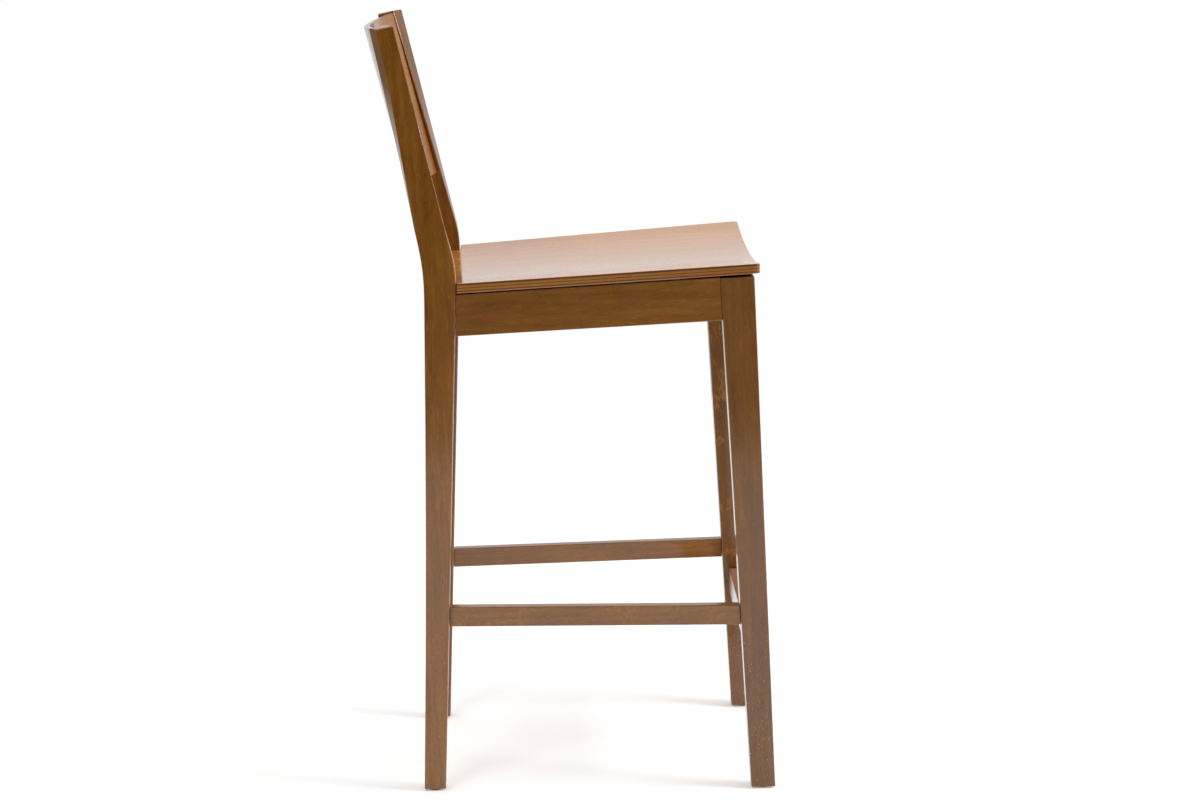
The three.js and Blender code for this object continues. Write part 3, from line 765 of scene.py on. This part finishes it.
def draw_block(name, corner):
    """A cube whose eight corners are drawn to their places; corner(i, j, k) gives each one."""
    put_down()
    bpy.ops.mesh.primitive_cube_add(size=1, location=corner(0, 0, 0))
    block = named(name)
    edit(block)
    start = Vector(corner(0, 0, 0))
    for i, j, k in SIDES:
        at = start + Vector((i - 0.5, j - 0.5, k - 0.5))
        pick(block, lambda place: (place - at).length < 0.001)
        bpy.ops.transform.translate(value=Vector(corner(i, j, k)) - at)
    face_out()
    put_down()
    return block


def side_rail():
    def outer(y):
        return side_line(y, SEAT_LINE) - RAIL_INSET

    def corner(i, j, k):
        low = SIDE_RAIL_REAR_LOW if j else SIDE_RAIL_FRONT_LOW
        face = rear_leg_front if j else front_leg_back
        gap = -HAIR if j else HAIR
        z = low
        if k:
            end = face(SEAT_LINE) + gap
            z = seat_under(outer(end) - RAIL_THICK, end) - HAIR
        y = face(z) + gap
        return (outer(y) - (0 if i else RAIL_THICK), y, z)

    rail = draw_block("side_rail_left_wood", corner)
    soften(rail, BAR_ROUNDING)
    make_room(rail, "dowel_side_rail_rear_low_left", "dowel_side_rail_rear_high_left",
              "dowel_side_rail_front_low_left", "dowel_side_rail_front_high_left",
              "block_screw_front_side_left", "block_screw_rear_side_left")
    smooth(rail)
    return rail


def cross_rail(name, rail, leg_outer, leg_thick, cutters):
    """A rail across the stool, whose top edge follows the dish of the seat."""
    front, bottom = rail
    rear = front + RAIL_THICK
    low_end = leg_outer(bottom) - leg_thick - HAIR
    high_end = leg_outer(seat_under(low_end, front)) - leg_thick - HAIR

    def corner(i, j, k):
        y = rear if j else front
        half = high_end if k else low_end
        return (half if i else -half, y, seat_under(0, y) - HAIR if k else bottom)

    piece = draw_block(name, corner)
    edit(piece)
    for step in range(1, CROSS_RAIL_STRIPS):
        slice_at(between(-low_end, low_end, step / CROSS_RAIL_STRIPS))
    middle = (seat_under(0, front) + bottom) / 2
    mesh = bmesh.from_edit_mesh(piece.data)
    columns = sorted({round(vertex.co.x, 5) for vertex in mesh.verts if vertex.co.z > middle})
    for x in columns:
        pick(piece, lambda at: at.z > middle and near(at.x, x))
        bpy.ops.transform.translate(value=(0, 0, dish(x)))
    put_down()
    soften(piece, BAR_ROUNDING)
    make_room(piece, *cutters)
    smooth(piece)
    return piece


def pair_of(name):
    return [f"{name}_left", f"{name}_right"]


def tenon_block(piece, low, high):
    """Joins a square tenon to the end of a bar."""
    put_down()
    centre = (Vector(low) + Vector(high)) / 2
    bpy.ops.mesh.primitive_cube_add(size=1, location=centre)
    cut(piece, named("tenon", Vector(high) - Vector(low)), "UNION")


def side_stretcher():
    low, high = (end.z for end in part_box("side_stretcher_left"))
    middle = (low + high) / 2

    def outer(y):
        return side_line(y, middle) - STRETCHER_INSET

    def corner(i, j, k):
        z = high if k else low
        y = rear_leg_front(z) - HAIR if j else front_leg_back(z) + HAIR
        return (outer(y) - (0 if i else STRETCHER_THICK), y, z)

    bar = draw_block("side_stretcher_left_wood", corner)
    soften(bar, BAR_ROUNDING)
    for face, into in ((rear_leg_front(middle), 1), (front_leg_back(middle), -1)):
        x = outer(face) - STRETCHER_THICK / 2
        ends = sorted((face - into * TENON_LENGTH / 2, face + into * TENON_LENGTH))
        tenon_block(bar, (x - TENON_THICK / 2, ends[0], low + TENON_SHOULDER),
                    (x + TENON_THICK / 2, ends[1], high - TENON_SHOULDER))
    smooth(bar)
    return bar


def cross_bar(name, node, leg_outer, leg_thick, rounding):
    """The footrest or the rear stretcher."""
    low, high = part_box(node)

    def corner(i, j, k):
        z = high.z if k else low.z
        half = leg_outer(z) - leg_thick - HAIR
        return (half if i else -half, high.y if j else low.y, z)

    bar = draw_block(name, corner)
    soften(bar, rounding)
    face = leg_outer((low.z + high.z) / 2) - leg_thick
    middle = (low.y + high.y) / 2
    for way in (-1, 1):
        ends = sorted((way * (face - TENON_LENGTH / 2), way * (face + TENON_LENGTH)))
        tenon_block(bar, (ends[0], middle - TENON_THICK / 2, low.z + TENON_SHOULDER),
                    (ends[1], middle + TENON_THICK / 2, high.z - TENON_SHOULDER))
    smooth(bar)
    return bar


# ---------- plywood ----------

def seat():
    notch_front = rear_leg_front(SEAT_DATUM[1]) - SEAT_CLEARANCE
    notch_side = rear_outer(SEAT_DATUM[1]) - REAR_LEG_THICK - SEAT_CLEARANCE
    front_half = side_line(SEAT_FRONT, SEAT_LINE) + SEAT_OVERHANG
    rear_half = side_line(notch_front, SEAT_LINE) + SEAT_OVERHANG
    put_down()
    centre = (0, (SEAT_FRONT + notch_front) / 2, SEAT_DATUM[1])
    bpy.ops.mesh.primitive_plane_add(size=1, location=centre)
    board = named("seat_ply", (2 * front_half, notch_front - SEAT_FRONT, 1))
    edit(board)
    pick(board, lambda at: near(at.y, notch_front))
    bpy.ops.transform.resize(value=(rear_half / front_half, 1, 1), center_override=(0, notch_front, 0))
    for side in (-1, 1):
        slice_at(side * notch_side)
    bpy.ops.mesh.select_mode(type="EDGE")
    bpy.ops.mesh.select_all(action="DESELECT")
    mesh = bmesh.from_edit_mesh(board.data)
    for edge in mesh.edges:
        a, b = edge.verts
        edge.select_set(near(a.co.y, notch_front) and near(b.co.y, notch_front)
                        and abs(a.co.x + b.co.x) < 1e-4)
    bmesh.update_edit_mesh(board.data)
    extrude(0, SEAT_REAR - notch_front, 0)
    pick(board, lambda at: near(at.y, SEAT_FRONT) and abs(at.x) > notch_side + 5 * MM)
    bpy.ops.mesh.bevel(offset=SEAT_CORNER, segments=8, affect="VERTICES")
    for step in range(1, SEAT_STRIPS):
        slice_at(between(-notch_side, notch_side, step / SEAT_STRIPS))
    for side in (-1, 1):
        for out in SEAT_EAR_CUTS:
            slice_at(side * (notch_side + out))
    pick_all()
    extrude(0, 0, -SEAT_THICK)
    face_out()
    for x in places(board, lambda at: abs(at.x)):
        pick(board, lambda at: near(abs(at.x), x))
        bpy.ops.transform.translate(value=(0, 0, dish(x)))
    for y in places(board, lambda at: at.y):
        pick(board, lambda at: near(at.y, y))
        bpy.ops.transform.translate(value=(0, 0, SEAT_SLOPE * (SEAT_DATUM[0] - y)))
    put_down()
    soften(board, SEAT_ROUNDING)
    make_room(board, *pair_of("seat_screw_front"), *pair_of("seat_screw_rear"))
    smooth(board)
    return board


def back_panel():
    def half_width(down):
        z = PANEL_TOP[1] - down * math.cos(PANEL_RAKE)
        return rear_outer(z) - REAR_LEG_THICK + PANEL_HOUSING

    top, bottom = half_width(0), half_width(PANEL_HEIGHT)
    front, height = PANEL_TOP
    put_down()
    bpy.ops.mesh.primitive_plane_add(size=1, location=(0, front, height - PANEL_HEIGHT / 2),
                                     rotation=(math.pi / 2, 0, 0))
    board = named("back_panel_ply", (2 * top, PANEL_HEIGHT, 1))
    edit(board)
    for step in range(1, PANEL_STRIPS):
        slice_at(between(-top, top, step / PANEL_STRIPS))
    pick(board, lambda at: at.z < height - PANEL_HEIGHT / 2)
    bpy.ops.transform.resize(value=(bottom / top, 1, 1), center_override=(0, front, height))
    pick_all()
    extrude(0, PANEL_THICK, 0)
    face_out()
    for out in (0, PANEL_THICK):
        for edge, curve in ((height, PANEL_RADIUS[0]), (height - PANEL_HEIGHT, PANEL_RADIUS[1])):
            radius = curve + out
            mesh = bmesh.from_edit_mesh(board.data)
            columns = sorted({round(abs(vertex.co.x), 5) for vertex in mesh.verts
                              if near(vertex.co.y, front + out) and near(vertex.co.z, edge)})
            for x in columns:
                sag = radius - math.sqrt(radius ** 2 - x ** 2)
                pick(board, lambda at: (near(abs(at.x), x) and near(at.y, front + out)
                                        and near(at.z, edge)))
                bpy.ops.transform.translate(value=(0, -sag, 0))
    pick_all()
    bpy.ops.transform.rotate(value=PANEL_RAKE, orient_axis="X", center_override=(0, front, height))
    put_down()
    soften(board, PANEL_ROUNDING)
    smooth(board)
    return board


# ---------- blocks, screws and glides ----------

BLOCK_FACE = 40 * MM
BLOCK_NOSE_CROSS = 18 * MM
BLOCK_NOSE_SIDE = 14 * MM
SCREW_HEAD = 4 * MM
SCREW_HEAD_HEIGHT = 2.6 * MM
SCREW_SHANK = 2 * MM
SCREW_ROOT = 1.5 * MM
SCREW_PITCH = 1.8 * MM
SCREW_POINT = 5 * MM
SCREW_TIP = 0.15 * MM
PLAIN_SHANK = 3 * MM

# A pan head's outline, as shares of its height and its radius.
SCREW_CROWN = [(0, 0.62), (0.08, 0.80), (0.25, 0.93), (0.50, 1.0), (0.96, 1.0), (1.0, 0.97)]
RECESS = (4.6 * MM, 0.9 * MM, 2.4 * MM)
GLIDE_THICK = 2.2 * MM
GLIDE_PIN = 1.4 * MM


def corner_block(name, end, inwards, cross_face, leg_face, leg_inner):
    """A sawn block glued in a corner of the rail frame, counterbored for its screws."""
    def side_face(y):
        return side_line(y, SEAT_LINE) - RAIL_INSET - RAIL_THICK - HAIR

    near_end = leg_face + inwards * BLOCK_NOSE_SIDE
    far_end = near_end + inwards * BLOCK_FACE
    cross_near = leg_inner - BLOCK_NOSE_CROSS
    outline = {(0, 0): (cross_near - BLOCK_FACE, cross_face), (1, 0): (cross_near, cross_face),
               (1, 1): (side_face(near_end), near_end), (0, 1): (side_face(far_end), far_end)}
    low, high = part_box(f"corner_block_{end}_left")

    def corner(i, j, k):
        x, y = outline[(i, j)]
        return (x, y, high.z if k else low.z)

    block = draw_block(name, corner)
    soften(block, BLOCK_ROUNDING, 2)
    for screw in (f"block_screw_{end}_cross_left", f"block_screw_{end}_side_left",
                  f"seat_screw_{end}_left"):
        head, way, reach = screw_line(screw)
        sunk = head + way * (SCREW_HEAD_HEIGHT + HAIR)
        drill(block, head - way * BLOCK_FACE, sunk, SCREW_HEAD + HAIR)
        drill(block, head, head + way * (reach + HAIR), SCREW_SHANK + HAIR)
    smooth(block)
    return block


def screw_line(node):
    """Where a screw's head begins, the way it points and how long it is over all."""
    low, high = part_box(node)
    middle = (low + high) / 2
    size = high - low
    axis = max(range(3), key=lambda i: size[i])
    way = Vector((0, 0, 0))
    if axis == 2:
        way.z = 1
    elif axis == 1:
        way.y = -1 if middle.y < 0 else 1
    else:
        way.x = 1 if middle.x > 0 else -1
    return middle - way * size[axis] / 2, way, size[axis]


def turned(name, profile, sides=24):
    """A round piece on the Z axis, drawn up ring by ring from (height, radius) pairs."""
    put_down()
    (base, wide), *rings = profile
    bpy.ops.mesh.primitive_circle_add(vertices=sides, radius=wide, fill_type="NGON",
                                      location=(0, 0, base))
    piece = named(name)
    edit(piece)
    pick_all()
    height = base
    for level, radius in rings:
        extrude(0, 0, level - height)
        share = radius / wide
        bpy.ops.transform.resize(value=(share, share, 1), center_override=(0, 0, level))
        height, wide = level, radius
    face_out()
    put_down()
    return piece


def draw_screw(name, length):
    """A zinc plated pan head screw standing on its head, with a cross recess and a cut thread."""
    profile = [(share * SCREW_HEAD_HEIGHT, wide * SCREW_HEAD) for share, wide in SCREW_CROWN]
    height = SCREW_HEAD_HEIGHT
    profile.append((height + 0.05 * MM, SCREW_ROOT))
    height += PLAIN_SHANK
    while height < length - SCREW_POINT:
        profile += [(height, SCREW_ROOT), (height + 0.45 * SCREW_PITCH, SCREW_SHANK),
                    (height + 0.60 * SCREW_PITCH, SCREW_SHANK)]
        height += SCREW_PITCH
    profile += [(length - SCREW_POINT * 0.8, SCREW_ROOT), (length, SCREW_TIP)]
    screw = turned(name, profile)
    span, slot, depth = RECESS
    for size in ((span, slot, depth), (slot, span, depth)):
        put_down()
        bpy.ops.mesh.primitive_cube_add(size=1, location=(0, 0, 0))
        blade = named("driver_blade", size)
        edit(blade)
        pick(blade, lambda at: at.z > 0)
        bpy.ops.transform.resize(value=(0.5, 0.5, 1), center_override=(0, 0, depth / 2))
        cut(screw, blade)
    smooth(screw)
    return screw


def drive(pattern, name, head, way):
    """A copy of the screw in its hole, with a mesh of its own."""
    take(pattern)
    bpy.ops.object.duplicate()
    screw = bpy.context.active_object
    screw.location = head
    screw.rotation_euler = way.to_track_quat("Z", "Y").to_euler()
    return named(name)


def glide(name, node):
    """A nail-on foot glide: a low round pad with a soft edge, and its pin."""
    low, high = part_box(node)
    wide = (high.x - low.x) / 2
    pad = GLIDE_THICK
    profile = [(0, wide * 0.80), (0.15 * MM, wide * 0.90), (0.5 * MM, wide * 0.97), (1.0 * MM, wide),
               (pad - 0.3 * MM, wide), (pad, wide * 0.97), (pad, GLIDE_PIN * 1.25),
               (pad + 0.8 * MM, GLIDE_PIN), (high.z - 2 * GLIDE_PIN, GLIDE_PIN), (high.z, 0.2 * MM)]
    piece = turned(name, profile, 32)
    piece.location = ((low.x + high.x) / 2, (low.y + high.y) / 2, 0)
    take(piece)
    piece = named(name)
    smooth(piece)
    return piece


# ---------- studio ----------

WHITE = (1, 1, 1, 1)
FLOOR_RADIUS = 2.7
FLOOR_LIGHT = 0.25
FLOOR_SHADES = [(0.0, (0.90, 0.90, 0.90, 1)), (1.0, (0.94, 0.94, 0.94, 1))]
LAMP_SIZE = 1.6
LAMP_AIM = Vector((0, 0, 0.6))

# A lamp's place and its power.
LAMPS = [((-0.9, -3.7, 2.4), 108), ((-3.0, 2.0, 3.0), 40)]


def studio():
    """A white room whose light comes from overhead, from behind and from the stool's front."""
    scene = bpy.context.scene
    scene.view_settings.view_transform = "Standard"
    scene.world = bpy.data.worlds.new("white_studio")
    sky = Finish("white_studio", scene.world)
    way = sky.node("ShaderNodeTexCoord", {}).outputs["Generated"]
    x, y, z = sky.parts(way)
    beside = sky.spread(y, -0.75, 0.65, 0.42, 0.10)
    backdrop = sky.spread(x, 0.74, 0.97, 0.0, 0.76)
    backdrop = sky.math("MAXIMUM", backdrop, beside)
    overhead = sky.spread(z, 0.28, 0.75, 0.0, 1.05)
    room = sky.math("MAXIMUM", backdrop, overhead)
    light = sky.times(room, sky.spread(x, -0.80, -0.15, 0.12, 1.0))
    lit = sky.node("ShaderNodeBackground", {"Color": WHITE, "Strength": light})
    seen = sky.node("ShaderNodeBackground", {"Color": WHITE, "Strength": 1.0})
    ray = sky.node("ShaderNodeLightPath", {}).outputs["Is Camera Ray"]
    either = sky.node("ShaderNodeMixShader", {0: ray, 1: lit.outputs[0], 2: seen.outputs[0]})
    sky.node("ShaderNodeOutputWorld", {0: either.outputs[0]})

    put_down()
    bpy.ops.mesh.primitive_circle_add(vertices=96, radius=FLOOR_RADIUS, fill_type="NGON",
                                      location=(0, 0, 0))
    floor = named("studio_floor")
    finish = Finish("pale_floor")
    cloud = finish.noise(finish.place(), 3.0, 3.0)
    floor.data.materials.append(finish.surface({
        "Base Color": finish.ramp(cloud, FLOOR_SHADES),
        "Roughness": 0.9, "Specular IOR Level": 0.1,
        "Emission Color": WHITE, "Emission Strength": FLOOR_LIGHT,
    }))

    for place, power in LAMPS:
        aim = (LAMP_AIM - Vector(place)).to_track_quat("-Z", "Y").to_euler()
        bpy.ops.object.light_add(type="AREA", location=place, rotation=aim)
        lamp = bpy.context.active_object
        lamp.data.size = LAMP_SIZE
        lamp.data.energy = power


EYE = (-4.4929, 0.0730, 1.4553)
EYE_LENS = 90
EYE_SENSOR = 36

# The eye's turns in radians: from straight along +X, down from level, and about its own line.
EYE_TURN = 0.026425
EYE_DOWN = 0.198186
EYE_ROLL = 0.016702


def camera():
    """A view of the stool's right side, from a little above its seat."""
    heading = Matrix.Rotation(-math.pi / 2 - EYE_TURN, 3, "Z")
    pitch = Matrix.Rotation(math.pi / 2 - EYE_DOWN, 3, "X")
    roll = Matrix.Rotation(-EYE_ROLL, 3, "Z")
    put_down()
    bpy.ops.object.camera_add(location=EYE, rotation=(heading @ pitch @ roll).to_euler())
    eye = bpy.context.active_object
    eye.data.lens = EYE_LENS
    eye.data.sensor_width = EYE_SENSOR
    bpy.context.scene.camera = eye


# ---------- assembly ----------

camera()
studio()


def fit_beech(piece, node, *grain, **marks):
    """Fits a piece in stained beech of its own; grain is the way it runs and where it is cut."""
    fit(piece, node, stained_beech(f"beech_{node}", *grain, **marks))


left = rear_leg()
right = mirror_copy(left, "rear_leg_right_wood")
fit_beech(left, "rear_leg_left", "z", (0.31, 0.12, 0.4), chips=0.4)
fit_beech(right, "rear_leg_right", "z", (0.02, 0.07, 1.3), chips=0.4)

left = front_leg()
right = mirror_copy(left, "front_leg_right_wood")
fit_beech(left, "front_leg_left", "z", (0.19, 0.25, 2.1), tone=0.84, curls=0.42, chips=0.7)
fit_beech(right, "front_leg_right", "z", (0.07, 0.33, 0.8), tone=0.79, chips=0.9)

left = side_rail()
right = mirror_copy(left, "side_rail_right_wood")
fit_beech(left, "side_rail_left", "y", (0.5, 0.1, 0.2))
fit_beech(right, "side_rail_right", "y", (0.15, 0.6, 0.05), tone=0.94)

piece = cross_rail("front_rail_wood", FRONT_RAIL, front_outer, FRONT_LEG_THICK,
                   pair_of("dowel_front_rail_low") + pair_of("dowel_front_rail_high")
                   + pair_of("block_screw_front_cross"))
fit_beech(piece, "front_rail", "x", (0.1, 0.3, 0.15))
piece = cross_rail("rear_rail_wood", REAR_RAIL, rear_outer, REAR_LEG_THICK,
                   pair_of("dowel_rear_rail_low") + pair_of("dowel_rear_rail_high")
                   + pair_of("block_screw_rear_cross"))
fit_beech(piece, "rear_rail", "x", (0.7, 0.2, 0.35))

left = side_stretcher()
right = mirror_copy(left, "side_stretcher_right_wood")
fit_beech(left, "side_stretcher_left", "y", (0.9, 0.3, 0.1), tone=1.02)
fit_beech(right, "side_stretcher_right", "y", (0.25, 0.8, 0.6), tone=1.15, curls=0.28)

piece = cross_bar("footrest_wood", "footrest", front_outer, FRONT_LEG_THICK, LEG_ROUNDING)
fit(piece, "footrest", worn_beech("beech_footrest", "x", (0.35, 0.1, 0.9)))
piece = cross_bar("rear_stretcher_wood", "rear_stretcher", rear_outer, REAR_LEG_THICK, BAR_ROUNDING)
fit_beech(piece, "rear_stretcher", "x", (0.65, 0.5, 0.2))

fit(seat(), "seat",
    stained_plywood("plywood_seat", "y", (0.1, 0.2, 0.3), seat_depth, seat_edge, SEAT_LAYERS))
fit(back_panel(), "back_panel",
    stained_plywood("plywood_back", "x", (0.6, 0.4, 0.1), panel_depth, panel_edge, BACK_LAYERS,
                    tone=0.62))

sawn = sawn_beech("sawn_corner_block", tint(128, 84, 48), tint(178, 128, 82))
for end, inwards, rail, leg_face, leg_inner in (
        ("front", 1, FRONT_RAIL[0] + RAIL_THICK + HAIR, front_leg_back(SEAT_LINE),
         front_outer(SEAT_LINE) - FRONT_LEG_THICK),
        ("rear", -1, REAR_RAIL[0] - HAIR, rear_leg_front(SEAT_LINE),
         rear_outer(SEAT_LINE) - REAR_LEG_THICK)):
    left = corner_block(f"corner_block_{end}_left_wood", end, inwards, rail, leg_face, leg_inner)
    right = mirror_copy(left, f"corner_block_{end}_right_wood")
    fit(left, f"corner_block_{end}_left", sawn)
    fit(right, f"corner_block_{end}_right", sawn)

zinc = zinc_steel()
patterns = {}
for node in sorted(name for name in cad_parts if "screw" in name):
    head, way, length = screw_line(node)
    kind = round(length / MM)
    if kind not in patterns:
        patterns[kind] = draw_screw(f"screw_{kind}_mm", length)
    fit(drive(patterns[kind], f"{node}_steel", head, way), node, zinc)
for pattern in patterns.values():
    bpy.data.objects.remove(pattern)

plastic = black_plastic()
for end in ("front", "rear"):
    for side in ("left", "right"):
        node = f"glide_{end}_{side}"
        fit(glide(f"{node}_pad", node), node, plastic)

dowel = sawn_beech("unfinished_dowel", tint(178, 138, 92), tint(224, 188, 140))
for name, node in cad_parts.items():
    if name.startswith("dowel"):
        node.data.materials.clear()
        node.data.materials.append(dowel)

put_down()
